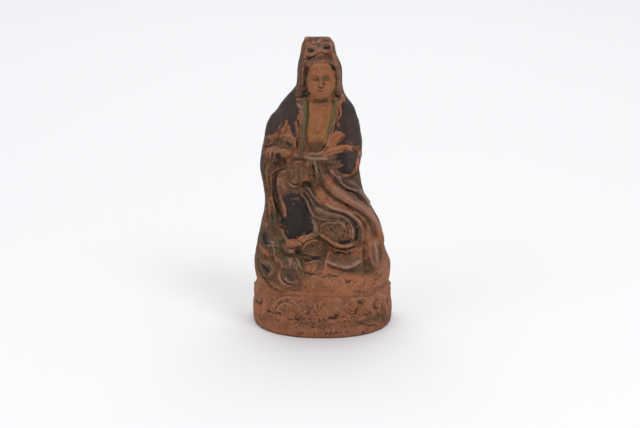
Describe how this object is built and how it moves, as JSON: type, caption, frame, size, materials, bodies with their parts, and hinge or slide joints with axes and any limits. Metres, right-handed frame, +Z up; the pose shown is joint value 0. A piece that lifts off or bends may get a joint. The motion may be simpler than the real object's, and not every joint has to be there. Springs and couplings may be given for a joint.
{
  "type": "guanyin statue",
  "caption": "Moulded terracotta statue of a seated, hooded deity in draped robes on a lotus throne, with worn dark, green and gold paint; stands by its own weight.",
  "frame": {"origin": "middle of the flat underside", "axes": "+Z up, the face looks along -Y, +X to the viewer's right"},
  "size_m": [0.1074, 0.0744, 0.2215],
  "materials": {
    "terracotta": "unglazed fired clay with worn cold paint"
  },
  "bodies": {
    "root": {"guanyin_statue": "terracotta"}
  },
  "joints": []
}
